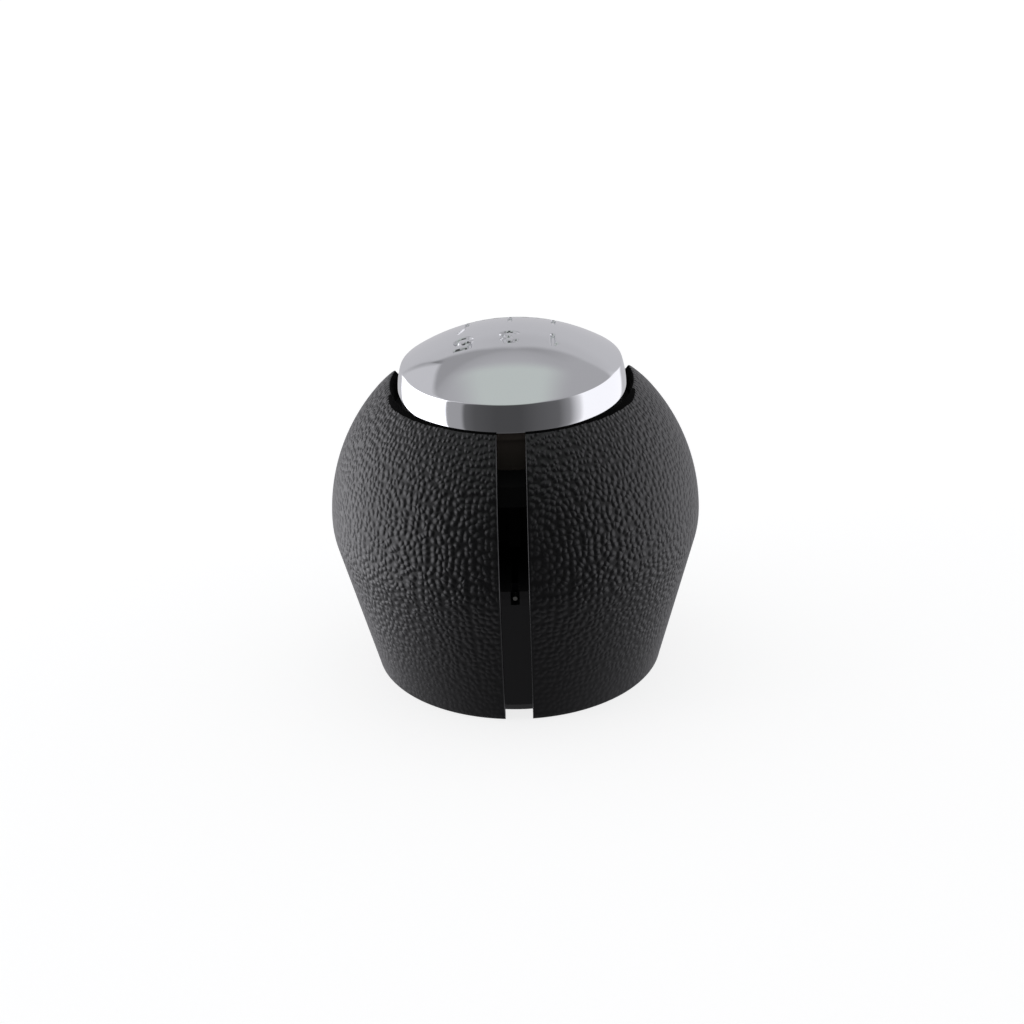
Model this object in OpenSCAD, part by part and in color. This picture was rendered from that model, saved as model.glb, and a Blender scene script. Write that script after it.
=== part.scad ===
// Gear shift knob for a manual gearbox: a slotted grip with a leather grain, moulded in one piece,
// over a ribbed core that holds the lever, closed by a domed chrome cap.
// The frame has +Z up along the lever, the floor under the grip's foot at Z = 0 and the slot facing -Y.

/* [Grip shell] */
// Greatest diameter of the grip
grip_d = 52; // [49:0.5:56]
// Height of the greatest diameter above the foot
waist_z = 22.8; // [21:0.2:25]
// Radius that rounds the grip between its waist and its tapered skirt
waist_round = 12; // [6:0.5:16]
// Diameter of the foot
foot_d = 40.8; // [39.5:0.2:43]
// Radius of the foot's outer edge
foot_round = 0.4; // [0.3:0.1:1]
// Height of the rim above the foot
rim_z = 42.4; // [41:0.2:44]
// How far below the rim the cut across the grip's rear shoulder ends
rim_drop = 5; // [3.6:0.2:6]
// Distance behind the axis at which that cut starts
drop_start = 4.5; // [2:0.25:6]
// Length of the ramp at each end of the cut
drop_ramp = 2.6; // [1.5:0.1:4]
// Thickness of the rim's edge
edge_t = 0.2; // [0.1:0.05:0.4]
// Width of the bevel inside the rim
bevel_w = 0.5; // [0.3:0.1:0.9]
// Height of that bevel
bevel_h = 1.2; // [0.6:0.1:1.6]
// Rise of the lip's underside towards the mouth
lip_rise = 1.2; // [0.8:0.1:1.6]
// Wall of the grip, measured level
shell_wall = 1.8; // [1.5:0.1:2.2]
// Width of the slot down the front
slot_w = 3.8; // [3:0.1:4.6]

/* [Screw lugs and deck screws] */
// Distance of the screws from the shell's inner wall
screw_in = 3.2; // [2.8:0.1:3.6]
// Radius of a lug
lug_r = 2.3; // [2:0.1:2.6]
// Height of a lug
lug_h = 6.6; // [5:0.2:8]
// Radius of a screw's shank
screw_r = 1.1; // [0.9:0.05:1.3]
// Length of a screw's shank
screw_len = 7; // [6:0.2:7.6]
// Radius of a screw's head
screw_head_r = 2; // [1.7:0.1:2.1]
// Height of a screw's head
screw_head_h = 1.3; // [1:0.1:1.5]

/* [Core] */
// Outer radius of the lever tube
tube_r = 9.5; // [9.3:0.1:10]
// Height of the tube's lower end above the foot
tube_z = 2; // [1.8:0.1:3]
// Thickness of the deck under the cap
deck_t = 2.4; // [2:0.1:3]
// Depth of the deck's top face below the rim
deck_down = 6.4; // [6.2:0.1:7]
// Thickness of a rib
rib_t = 1.6; // [1.2:0.1:2]
// Width of the slits that let the tube's lower end close on the lever
slit_w = 1.2; // [0.8:0.1:1.6]
// Length of those slits
slit_len = 10; // [8:0.5:13]
// Thickness of the tube's closed end below the deck
end_t = 1; // [0.8:0.1:2]
// Height of the bead that the collar snaps over
bead_h = 0.5; // [0.4:0.05:0.8]
// How far that bead stands out
bead_out = 0.4; // [0.3:0.05:0.6]

/* [Lever bush and damper] */
// Bore for the gear lever
lever_d = 12; // [10:0.5:12.5]
// Wall of the bush
bush_wall = 1.5; // [1.2:0.1:1.6]
// Thickness of the bush's lower flange
flange_t = 1; // [0.8:0.1:1.2]
// Thickness of the rubber pad on the lever's end
pad_t = 2.6; // [2:0.1:2.8]

/* [Clamp ring] */
// Thickness of the spring band
band_t = 0.9; // [0.6:0.1:1.1]
// Height of the band
band_h = 4; // [3:0.2:5]
// Height of the band above the tube's lower end
band_up = 2; // [1:0.2:3]
// Length of the two ears
ear_len = 2; // [1.5:0.1:2.4]

/* [Gaiter collar] */
// Height of the collar's lower edge above the foot
collar_z = 0.2; // [0.2:0.1:1.8]
// Depth of the collar's top face below the waist
collar_down = 0.6; // [0.3:0.1:2]
// Wall of the collar, measured level
collar_wall = 1.6; // [1.3:0.1:1.9]
// Thickness of the flange at its top
collar_flange = 1.4; // [1.2:0.1:1.8]
// Height of the turned-in lower edge
collar_lip_h = 1.2; // [0.6:0.1:1.4]
// How far that edge turns in
collar_lip_in = 0.4; // [0.2:0.1:0.8]
// Width of the notch for the lock spring
notch_w = 1.2; // [1.1:0.1:2]
// Depth of that notch
notch_h = 2.2; // [1.8:0.1:2.6]

/* [Lock spring] */
// Width of the spring's leaf
leaf_w = 0.8; // [0.6:0.1:1]
// Thickness of the leaf
leaf_t = 0.4; // [0.3:0.05:0.5]
// Distance from the lever tube to the leaf's inner end
leaf_start = 1.5; // [1:0.1:2.5]

/* [Cap and carrier] */
// Radius of the dome's sphere
dome_r = 27.2; // [24:0.2:32]
// Diameter at the crease between dome and band
crease_d = 30.6; // [30:0.1:31]
// Height of the crease above the rim
crease_up = 2.8; // [2.4:0.1:3.2]
// How far the band flares out from the crease to its lower edge
band_flare = 0.5; // [0.3:0.1:0.7]
// Height of the band
band_drop = 3.8; // [3.4:0.1:4.2]
// Wall of the cap
cap_wall = 0.9; // [0.7:0.05:1.1]
// Angle by which the cap's front is lifted
cap_rake = 1.3; // [0:0.1:1.6]
// Angle by which the cap's right side is lifted
cap_lean = 0.9; // [0:0.1:1.2]
// Thickness of the flange that the cap stands on
seat_t = 1.2; // [1:0.1:1.4]
// Wall of the carrier's ring
carrier_wall = 1.6; // [1.3:0.1:2]
// Thickness of the carrier's floor over the deck
carrier_floor = 1.4; // [1:0.1:1.8]
// Width of a snap hook
hook_w = 5; // [4:0.2:6]
// Thickness of a snap hook
hook_t = 1.4; // [1.2:0.1:1.6]
// Distance of a hook's outer face from the carrier's edge
hook_in = 1.2; // [1:0.1:1.6]
// How far a hook's barb reaches out
barb = 0.7; // [0.5:0.1:0.8]

/* [Clearances] */
// Gap between parts that are pushed together
fit_gap = 0.1; // [0.05:0.01:0.15]
// Gap between the shell and what lies inside it
shell_gap = 0.3; // [0.2:0.05:0.4]
// Gap around the screws and hooks where they pass the deck
pass_gap = 0.2; // [0.1:0.05:0.3]
// Gap between the cap's lower edge and the grip's mouth
cap_gap = 0.6; // [0.5:0.05:0.7]

/* [Hidden] */
turn_fn = 96;
small_fn = 32;
over = 1;
root = 0.5;
screw_count = 3;
rib_count = 2 * screw_count;

// Heights and radii of the cap, and of the grip's mouth around it
band_r = crease_d / 2 + band_flare;
mouth_r = band_r + cap_gap;
rim_r = mouth_r + bevel_w + edge_t;
bevel_z = rim_z - bevel_h;
rear_z = rim_z - rim_drop;
crease_z = rim_z + crease_up;
seat_z = crease_z - band_drop;
dome_z = crease_z - sqrt(pow(dome_r, 2) - pow(crease_d / 2, 2));

// Outline of the grip: a straight taper, a round at the waist and an arc that closes in to the rim
waist_r = grip_d / 2;
foot_r = foot_d / 2;
upper_r = (pow(waist_r - rim_r, 2) + pow(rim_z - waist_z, 2)) / (2 * (waist_r - rim_r));
round_x = waist_r - waist_round;
taper_a = acos(-waist_round / norm([round_x - foot_r, waist_z])) - atan2(waist_z, round_x - foot_r);
taper_top = waist_z - waist_round * sin(taper_a);

// Radius of the grip's outer face at a height
function grip_r(z) =
    z >= waist_z ? waist_r - upper_r + sqrt(pow(upper_r, 2) - pow(z - waist_z, 2)) :
    z >= taper_top ? round_x + sqrt(pow(waist_round, 2) - pow(z - waist_z, 2)) :
    foot_r + z * tan(taper_a);

// Points that follow the outer face, set in by a distance, from one height to another
function follow(inset, z_from, z_to, steps) =
    [for (i = [0:steps]) let (z = z_from + (z_to - z_from) * i / steps) [grip_r(z) - inset, z]];

// The same points with the straight taper as one line and arcs only where the face is round
function wall_line(inset, z_from, z_to) = concat(
    z_from < taper_top ? [[grip_r(z_from) - inset, z_from]] : [],
    follow(inset, max(z_from, taper_top), min(z_to, waist_z), 4),
    [for (p = follow(inset, waist_z, z_to, 16)) if (p[1] > waist_z + 0.01) p]);

function arc_points(x, z, r, a_from, a_to, steps) =
    [for (i = [0:steps]) let (a = a_from + (a_to - a_from) * i / steps) [x + r * cos(a), z + r * sin(a)]];

function backwards(points) = [for (i = [len(points) - 1:-1:0]) points[i]];

// Heights and radii that the inner pieces share
deck_z = rim_z - deck_down;
deck_under = deck_z - deck_t;
shoulder_z = deck_z + screw_head_h + shell_gap;
lip_z = shoulder_z + lip_rise;
bush_r = lever_d / 2 + bush_wall;
tube_in = bush_r + fit_gap;
tube_bore_top = deck_under - end_t;
pad_z = tube_bore_top - pad_t;
collar_top = waist_z - collar_down;
band_z = tube_z + band_up;
ring_in = tube_r + fit_gap;
collar_in = shell_wall + shell_gap + collar_wall;
leaf_in = tube_r + leaf_start;
screw_at = grip_r(deck_z) - shell_wall - screw_in;
base_r = min(screw_at - screw_head_r - pass_gap, band_r - cap_gap);
hook_r = base_r - hook_in;
hook_z = deck_under - barb - fit_gap;

module turned(points) {
    rotate_extrude($fn = turn_fn) polygon(points);
}

// Repeats its children around the axis, the first at the rear
module around(count, start = 0) {
    for (i = [0:count - 1])
        rotate([0, 0, start + i * 360 / count]) children();
}

// Tilts the cap and what carries it about the centre of the crease
module cap_tilt() {
    translate([0, 0, crease_z])
        rotate([-cap_rake, -cap_lean, 0])
            translate([0, 0, -crease_z]) children();
}

module shell_ring() {
    turned(concat(
        arc_points(grip_r(foot_round) - foot_round, foot_round, foot_round, -90, -taper_a, 4),
        wall_line(0, taper_top, rim_z),
        [[rim_r - edge_t, rim_z], [mouth_r, bevel_z], [mouth_r, lip_z]],
        backwards(wall_line(shell_wall, 0, shoulder_z))));
}

// A lug grows out of the shell's wall and takes one deck screw from above
module shell_lug() {
    intersection() {
        translate([-lug_r, screw_at, deck_under - lug_h]) union() {
            cube([2 * lug_r, waist_r, lug_h]);
            translate([lug_r, 0, 0]) cylinder(r = lug_r, h = lug_h, $fn = small_fn);
        }
        turned(concat([[0, deck_under - lug_h]], follow(shell_wall / 2, deck_under - lug_h, deck_under, 6),
            [[0, deck_under]]));
    }
}

// What the rear shoulder loses: everything above a cone, behind a ramp that leaves a horn on each side
module rear_relief() {
    intersection() {
        turned([[0, bevel_z], [mouth_r + edge_t, bevel_z], [grip_r(rear_z), rear_z], [waist_r, rear_z],
            [waist_r, rim_z + over], [0, rim_z + over]]);
        rotate([90, 0, 90]) linear_extrude(height = grip_d, center = true)
            polygon([[drop_start, rim_z + over], [drop_start, rim_z], [drop_start + drop_ramp, rear_z],
                [waist_r, rear_z], [waist_r, rim_z + over]]);
    }
}

module grip_shell() {
    color("#1d1d1f") difference() {
        union() {
            shell_ring();
            around(screw_count) shell_lug();
        }
        translate([-slot_w / 2, -waist_r - over, -over]) cube([slot_w, waist_r, rim_z + 2 * over]);
        rear_relief();
        around(screw_count) translate([0, screw_at, deck_under - lug_h + over])
            cylinder(r = screw_r + fit_gap, h = lug_h, $fn = small_fn);
    }
}

// Cone inside the skirt that the gaiter's neck is fastened to; its front shows in the slot
module gaiter_collar() {
    outer_in = shell_wall + shell_gap;
    color("#29292b") difference() {
        turned(concat(
            [[grip_r(collar_z) - outer_in - collar_lip_in, collar_z],
                [grip_r(collar_z + collar_lip_h) - outer_in, collar_z + collar_lip_h]],
            taper_top < collar_top ? follow(outer_in, taper_top, collar_top, 2) :
                [[grip_r(collar_top) - outer_in, collar_top]],
            [[tube_r + fit_gap, collar_top], [tube_r + fit_gap, collar_top - collar_flange],
                [grip_r(collar_top - collar_flange) - collar_in, collar_top - collar_flange],
                [grip_r(collar_z + collar_lip_h) - collar_in, collar_z + collar_lip_h],
                [grip_r(collar_z) - collar_in - collar_lip_in, collar_z]]));
        translate([-notch_w / 2, -waist_r, collar_top - notch_h])
            cube([notch_w, waist_r - grip_r(collar_top) + collar_in + leaf_t + fit_gap, notch_h + over]);
    }
}

// Leaf bent down through the collar's notch; its round nib is the bright point in the slot
module lock_spring() {
    leg_y = grip_r(collar_top) - collar_in - fit_gap;
    nib_r = leaf_w / 2 - fit_gap;
    color("#b9b9b6") {
        translate([-leaf_w / 2, -leg_y, collar_top]) cube([leaf_w, leg_y - leaf_in, leaf_t]);
        translate([-leaf_w / 2, -leg_y, collar_top - notch_h + fit_gap])
            cube([leaf_w, leaf_t, notch_h + leaf_t - fit_gap]);
        translate([0, -leg_y, collar_top - notch_h / 2]) rotate([90, 0, 0])
            cylinder(r = nib_r, h = collar_wall, $fn = small_fn);
    }
}

module core_rib() {
    rib_in = shell_wall + shell_gap;
    intersection() {
        translate([-rib_t / 2, tube_r - root, collar_top])
            cube([rib_t, waist_r, deck_under + root - collar_top]);
        turned(concat([[0, collar_top]], follow(rib_in, collar_top, deck_z, 12), [[0, deck_z]]));
    }
}

// Lever tube, ribs and deck in one moulding
module core_body() {
    deck_in = shell_wall + shell_gap;
    color("#161617") difference() {
        union() {
            translate([0, 0, tube_z]) cylinder(r = tube_r, h = deck_z - tube_z, $fn = turn_fn);
            translate([0, 0, collar_top - collar_flange - fit_gap - bead_h])
                cylinder(r1 = tube_r, r2 = tube_r + bead_out, h = bead_h, $fn = turn_fn);
            turned([[0, deck_under], [grip_r(deck_under) - deck_in, deck_under],
                [grip_r(deck_z) - deck_in, deck_z], [0, deck_z]]);
            around(rib_count, 180 / rib_count) core_rib();
            translate([-leaf_w, -leaf_in - leaf_w, collar_top + leaf_t])
                cube([2 * leaf_w, leaf_in + leaf_w - tube_r + root, deck_under - collar_top - leaf_t]);
        }
        translate([0, 0, -over]) cylinder(r = tube_in, h = tube_bore_top + over, $fn = turn_fn);
        around(2, 45) translate([-slit_w / 2, -tube_r - over, tube_z - over])
            cube([slit_w, 2 * (tube_r + over), slit_len + over]);
        around(screw_count) translate([0, screw_at, deck_under - over])
            cylinder(r = screw_r + pass_gap, h = deck_t + 2 * over, $fn = small_fn);
        around(screw_count, 180 / screw_count)
            translate([-hook_w / 2 - pass_gap, hook_r - hook_t - pass_gap, deck_under - over])
                cube([hook_w + 2 * pass_gap, hook_t + barb + 2 * pass_gap, deck_t + 2 * over]);
    }
}

// Bush that the lever is pushed into
module lever_bush() {
    color("#c9a14a") difference() {
        union() {
            translate([0, 0, tube_z]) cylinder(r = bush_r, h = pad_z - tube_z, $fn = turn_fn);
            translate([0, 0, tube_z - flange_t]) cylinder(r = tube_r - fit_gap, h = flange_t, $fn = turn_fn);
        }
        translate([0, 0, -over]) cylinder(d = lever_d, h = pad_z + 2 * over, $fn = turn_fn);
    }
}

module damper_pad() {
    color("#101010") translate([0, 0, pad_z])
        cylinder(r = bush_r, h = pad_t, $fn = turn_fn);
}

// Spring band that closes the slit end of the tube on the bush
module clamp_ring() {
    mouth = 2 * ear_len;
    color("#a8a9ab") rotate([0, 0, 45]) difference() {
        union() {
            translate([0, 0, band_z]) cylinder(r = ring_in + band_t, h = band_h, $fn = turn_fn);
            translate([-mouth / 2, ring_in, band_z]) cube([mouth, band_t + ear_len, band_h]);
        }
        translate([0, 0, band_z - over]) cylinder(r = ring_in, h = band_h + 2 * over, $fn = turn_fn);
        translate([-mouth / 2 + band_t, ring_in / 2, band_z - over])
            cube([mouth - 2 * band_t, tube_r + ear_len, band_h + 2 * over]);
    }
}

// Pan-head screws that hold the deck down on the shell's lugs
module deck_screws() {
    color("#8d8f92") around(screw_count) translate([0, screw_at, deck_z]) {
        cylinder(r = screw_head_r, h = screw_head_h, $fn = small_fn);
        translate([0, 0, -screw_len]) cylinder(r = screw_r, h = screw_len, $fn = small_fn);
    }
}

module carrier_hook() {
    barb_top = deck_under - fit_gap;
    translate([-hook_w / 2, hook_r - hook_t, hook_z]) cube([hook_w, hook_t, deck_z - hook_z + root]);
    translate([-hook_w / 2, hook_r, 0]) rotate([90, 0, 90]) linear_extrude(height = hook_w)
        polygon([[-hook_t / 2, hook_z], [0, hook_z], [barb, barb_top], [-hook_t / 2, barb_top]]);
}

// Plastic carrier that the chrome cap is pressed over; three hooks snap through the deck
module cap_carrier() {
    ring_out = crease_d / 2 - cap_wall - fit_gap;
    base_h = seat_z - seat_t / 2 - deck_z;
    hollow_r = min(ring_out, base_r) - carrier_wall;
    color("#131314") {
        difference() {
            union() {
                translate([0, 0, deck_z]) cylinder(r = base_r, h = base_h, $fn = turn_fn);
                cap_tilt() {
                    translate([0, 0, seat_z - seat_t])
                        cylinder(r = band_r - cap_wall / 2, h = seat_t, $fn = turn_fn);
                    translate([0, 0, seat_z - root])
                        cylinder(r = ring_out, h = band_drop - cap_wall + root, $fn = turn_fn);
                }
            }
            translate([0, 0, deck_z + carrier_floor])
                cylinder(r = hollow_r, h = crease_z, $fn = turn_fn);
        }
        around(screw_count, 180 / screw_count) carrier_hook();
    }
}

// Chrome-plated cap: a shallow dome, a crisp crease and a band that flares most just under the crease
module chrome_cap() {
    rise = asin(crease_d / 2 / dome_r);
    inner_crease = crease_d / 2 - cap_wall;
    inner_rise = asin(inner_crease / (dome_r - cap_wall));
    flare_r = (pow(band_flare, 2) + pow(band_drop, 2)) / (2 * band_flare);
    flare_a = asin(band_drop / flare_r);
    color("#c4c6c8") cap_tilt() turned(concat(
        arc_points(0, dome_z, dome_r, 90, 90 - rise, 12),
        arc_points(band_r - flare_r, seat_z, flare_r, flare_a * 4 / 5, 0, 4),
        [[inner_crease, seat_z]],
        arc_points(0, dome_z, dome_r - cap_wall, 90 - inner_rise, 90, 10)));
}

grip_shell();
gaiter_collar();
lock_spring();
core_body();
lever_bush();
damper_pad();
clamp_ring();
deck_screws();
cap_carrier();
chrome_cap();
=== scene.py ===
"""The looks of a gear shift knob: a grip moulded with a pebble leather grain and a chrome-plated cap."""
import math

import bmesh
import bpy
import numpy as np
from mathutils import Matrix, Vector


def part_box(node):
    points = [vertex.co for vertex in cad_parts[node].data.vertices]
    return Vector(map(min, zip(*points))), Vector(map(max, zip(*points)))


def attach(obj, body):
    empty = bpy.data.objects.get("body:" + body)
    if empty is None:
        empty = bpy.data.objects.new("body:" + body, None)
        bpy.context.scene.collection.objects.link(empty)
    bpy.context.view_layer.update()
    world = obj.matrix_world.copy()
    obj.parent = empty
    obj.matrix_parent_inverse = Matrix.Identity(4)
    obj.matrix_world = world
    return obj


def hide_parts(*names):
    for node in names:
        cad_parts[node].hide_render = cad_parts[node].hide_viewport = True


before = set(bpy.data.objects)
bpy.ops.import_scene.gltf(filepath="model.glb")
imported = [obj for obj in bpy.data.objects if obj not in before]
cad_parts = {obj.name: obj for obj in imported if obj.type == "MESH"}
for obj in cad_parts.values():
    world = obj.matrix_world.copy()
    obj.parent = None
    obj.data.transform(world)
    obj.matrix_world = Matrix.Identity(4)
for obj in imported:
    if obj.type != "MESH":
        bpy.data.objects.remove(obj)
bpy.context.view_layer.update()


# Core body
# One moulding of glass-filled nylon: the tube for the lever, six ribs and the deck that the cap snaps
# into. It comes out of its tool matt, and everything else is fixed to it.
MM = 0.001
DECK_UNDER = 33.6
SKIN_CHANGE = 0.4
WEAR_MM = 9
WEAR_GLOSS = 0.06


def srgb(text):
    """A hex colour turned to the linear values that the shader wants."""
    parts = [int(text[i : i + 2], 16) / 255 for i in (1, 3, 5)]
    return tuple(p / 12.92 if p <= 0.04045 else ((p + 0.055) / 1.055) ** 2.4 for p in parts) + (1.0,)


def put(tree, kind, settings=(), **links):
    """Adds a node with its properties, values and ramp stops, and links its inputs by name or number."""
    node = tree.nodes.new(kind)
    for key, value in dict(settings).items():
        if key == "stops":
            elements = node.color_ramp.elements
            while len(elements) < len(value):
                elements.new(0.5)
            for element, (position, level) in zip(elements, value):
                element.position = position
                element.color = (level, level, level, 1)
        elif isinstance(key, str) and hasattr(node, key):
            setattr(node, key, value)
        else:
            node.inputs[key].default_value = value
    for key, source in links.items():
        slot = int(key[1:]) if key[0] == "i" and key[1:].isdigit() else key.replace("_", " ")
        output = source if isinstance(source, bpy.types.NodeSocket) else source.outputs[0]
        tree.links.new(output, node.inputs[slot])
    return node


def new_material(name):
    """An empty material with its tree and its Principled shader."""
    material = bpy.data.materials.new(name)
    material.use_nodes = True
    return material, material.node_tree, material.node_tree.nodes["Principled BSDF"]


def moulded(name, colour, roughness, speck_mm, bump_mm):
    """Moulded plastic: a spark-eroded texture, drawn coarser than its real 0.1 mm, and an uneven gloss."""
    material, tree, shader = new_material(name)
    place = put(tree, "ShaderNodeTexCoord").outputs["Object"]
    speck = put(tree, "ShaderNodeTexNoise", {"Scale": 1 / (speck_mm * MM), "Detail": 3.0}, Vector=place)
    wear = put(tree, "ShaderNodeTexNoise", {"Scale": 1 / (WEAR_MM * MM), "Detail": 4.0}, Vector=place)
    gloss = put(tree, "ShaderNodeMapRange", {3: roughness - WEAR_GLOSS, 4: roughness + WEAR_GLOSS}, i0=wear)
    relief = put(tree, "ShaderNodeBump", {"Distance": bump_mm * MM}, Height=speck)
    tree.links.new(gloss.outputs[0], shader.inputs["Roughness"])
    tree.links.new(relief.outputs[0], shader.inputs["Normal"])
    shader.inputs["Base Color"].default_value = srgb(colour)
    shader.inputs["IOR"].default_value = 1.49
    return material


def dress(node, material):
    """Gives a CAD node its finish."""
    node_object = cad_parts[node]
    node_object.data.materials.clear()
    node_object.data.materials.append(material)


# Glass-filled nylon has nearly no gloss, so the deck in the gap round the cap shows no light. Under the deck
# its colour is a lighter grey.
core_nylon = moulded("glass_filled_nylon", "#121212", 0.85, 0.4, 0.012)
tree = core_nylon.node_tree
shader = tree.nodes["Principled BSDF"]
place = put(tree, "ShaderNodeTexCoord").outputs["Object"]
height = put(tree, "ShaderNodeSeparateXYZ", {}, i0=place).outputs[2]
at_deck = put(tree, "ShaderNodeMapRange", {1: (DECK_UNDER - SKIN_CHANGE) * MM, 2: DECK_UNDER * MM}, i0=height)
skin_colours = {"data_type": "RGBA", 6: srgb("#3c3c3d"), 7: srgb("#121212")}
skin = put(tree, "ShaderNodeMix", skin_colours, i0=at_deck)
tree.links.new(skin.outputs[2], shader.inputs["Base Color"])
shader.inputs["Specular IOR Level"].default_value = 0.08
dress("core_body", core_nylon)


# Lever bush and damper pad
# The bush is natural acetal, cream and waxy, turned and pressed into the core's tube from below. The
# pad above it, on which the lever's end stops, is moulded rubber, black and dull.
dress("lever_bush", moulded("natural_acetal", "#c8b48a", 0.38, 0.3, 0.004))
dress("damper_pad", moulded("moulded_rubber", "#0d0d0d", 0.75, 0.2, 0.01))


# Clamp ring and lock spring
# Both are cold-rolled spring strip. The ring is bright and closes the tube's slit end on the bush. The spring
# hooks down through the collar, with a nib that shows in the slot, and its leg is painted dark as shade.
LINE_STRETCH = 12
LINE_DEPTH_MM = 0.003
LINE_GLOSS = (-0.08, 0.1)
NIB_FROM_Y = -22.3
NIB_FADE = 0.1


def rolled_steel(name, colour, roughness, line_mm):
    """Steel with the fine lines of rolling or drawing, far coarser than the real ones so that they show."""
    material, tree, shader = new_material(name)
    place = put(tree, "ShaderNodeTexCoord").outputs["Object"]
    stretch = {"operation": "MULTIPLY", 1: (1, 1, LINE_STRETCH)}
    stretched = put(tree, "ShaderNodeVectorMath", stretch, i0=place)
    lines = put(tree, "ShaderNodeTexNoise", {"Scale": 1 / (line_mm * MM), "Detail": 3.0}, Vector=stretched)
    uneven = {3: roughness + LINE_GLOSS[0], 4: roughness + LINE_GLOSS[1]}
    gloss = put(tree, "ShaderNodeMapRange", uneven, i0=lines)
    relief = put(tree, "ShaderNodeBump", {"Distance": LINE_DEPTH_MM * MM}, Height=lines)
    tree.links.new(gloss.outputs[0], shader.inputs["Roughness"])
    tree.links.new(relief.outputs[0], shader.inputs["Normal"])
    shader.inputs["Base Color"].default_value = srgb(colour)
    shader.inputs["Metallic"].default_value = 1.0
    return material


dress("clamp_ring", rolled_steel("spring_steel_strip", "#96958f", 0.3, 0.4))

# Only the nib is coloured bright steel; the rest of the spring is painted near black, painted shade on the
# leg, so that of the whole spring only the nib catches the eye
spring_shaded_leg = rolled_steel("spring_steel_with_painted_shade", "#96958f", 0.3, 0.4)
tree = spring_shaded_leg.node_tree
place = put(tree, "ShaderNodeTexCoord").outputs["Object"]
from_front = put(tree, "ShaderNodeSeparateXYZ", {}, i0=place).outputs[1]
shaded_leg = put(tree, "ShaderNodeMapRange", {1: (NIB_FROM_Y - NIB_FADE) * MM, 2: NIB_FROM_Y * MM}, i0=from_front)
leg_shade_colours = {"data_type": "RGBA", 6: srgb("#b4b3ad"), 7: srgb("#1b1c20")}
leg_shade = put(tree, "ShaderNodeMix", leg_shade_colours, i0=shaded_leg)
tree.links.new(leg_shade.outputs[2], tree.nodes["Principled BSDF"].inputs["Base Color"])
dress("lock_spring", spring_shaded_leg)


# Gaiter collar
# A cone of black polypropylene straight from its tool, snapped over the bead on the core's tube. Its
# front shows in the slot as a smooth strip, a little glossier than the grip.
dress("gaiter_collar", moulded("black_polypropylene", "#242425", 0.42, 0.25, 0.006))


# Grip shell
# One moulding of soft-touch elastomer over polypropylene, slit down its whole front so that it can
# spring open over the core, and held to it by three screws. The mould's etched face gives the
# pebble leather grain, deep around the waist and shallow towards the foot.
SLOT_W = 3.8
FOOT_R = 20.4
FOOT_ROUND = 0.4
WAIST_Z = 22.8
WAIST_ROUND = 12.0
MOUTH_R = 16.4
EDGE_T = 0.2
BEVEL_H = 1.2
LIP_Z = 38.8
SHOULDER_Z = 37.6
SHELL_WALL = 1.8
RIM_DROP = 5.0
DROP_START = 4.5
DROP_RAMP = 2.6
RIM_R = 17.1
WAIST_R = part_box("grip_shell")[1][0] / MM
RIM_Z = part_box("grip_shell")[1][2] / MM
SLOT_EDGE_ROUND = 0.4
# The rounding at the rim's edge, in from its radius and down from its top, and where it starts
RIM_EDGE = 0.14
EDGE_DROP = 0.03
RIM_EDGE_POINTS = [(0.02, 0.04), (0.09, 0), (EDGE_T, EDGE_DROP)]
# The same for the corners inside, under the lip and where the wall meets it
LIP_CORNER = (0.1, 0.08)
SHOULDER_CORNER = (0.2, 0.08)
# How many rows of faces each part of the wall has
FOOT_ROWS = 5
SKIRT_ROWS = 24
WAIST_ROWS = 8
SHOULDER_ROWS = 44
BEVEL_ROWS = 4
INSIDE_ROWS = 20
# The rows under the rim are fine, and as many of them carry painted shade as the shaded strip is wide: its
# width in millimetres at angles from the slot in degrees
SHADED_ROWS = 8
SHADED_ROW_H = 0.07
SHADED_EDGE = [(0, 0.07), (28, 0.09), (41, 0.23), (53, 0.33), (64, 0.44), (69, 0.28), (75, 0.0)]
# Columns of faces as shares of the way from the slot to the rear: they crowd at the slot, where the
# outer edge is rounded, and at the horns where the rear cut starts
SLOT_COLUMNS = [0, 0.0005, 0.0011, 0.0018, 0.0027, 0.004, 0.0058, 0.0085]
COLUMN_SPANS = [(0.012, 0.56, 110), (0.56, 0.64, 36), (0.64, 1.0, 72)]

upper_r = ((WAIST_R - RIM_R) ** 2 + (RIM_Z - WAIST_Z) ** 2) / (2 * (WAIST_R - RIM_R))
round_x = WAIST_R - WAIST_ROUND
taper = math.acos(-WAIST_ROUND / math.hypot(round_x - FOOT_R, WAIST_Z))
taper -= math.atan2(WAIST_Z, round_x - FOOT_R)
taper_top = WAIST_Z - WAIST_ROUND * math.sin(taper)


def grip_r(z):
    """Radius of the grip's outer face at a height, in millimetres."""
    if z >= WAIST_Z:
        return WAIST_R - upper_r + math.sqrt(upper_r**2 - (z - WAIST_Z) ** 2)
    if z >= taper_top:
        return round_x + math.sqrt(WAIST_ROUND**2 - (z - WAIST_Z) ** 2)
    return FOOT_R + z * math.tan(taper)


def smooth(low, high, value):
    """0 below low, 1 above high and an S-curve between them."""
    t = min(max((value - low) / (high - low), 0.0), 1.0)
    return t * t * (3 - 2 * t)


def rear_cut(r, y, z):
    """Height left by the cut across the rear shoulder: a cone, and a ramp up to the horn on each side."""
    if y <= DROP_START:
        return z
    low = RIM_Z - RIM_DROP
    start_r = MOUTH_R + EDGE_T
    cone = RIM_Z - BEVEL_H + (low - RIM_Z + BEVEL_H) * (r - start_r) / (grip_r(low) - start_r)
    ramp = RIM_Z - RIM_DROP * (y - DROP_START) / DROP_RAMP
    return min(z, max(cone, ramp))


def face_rows(z_from, z_to, rows):
    """Points up the outer face, without the one that they start from."""
    heights = [z_from + (z_to - z_from) * i / rows for i in range(1, rows + 1)]
    return [(grip_r(z), z) for z in heights]


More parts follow.
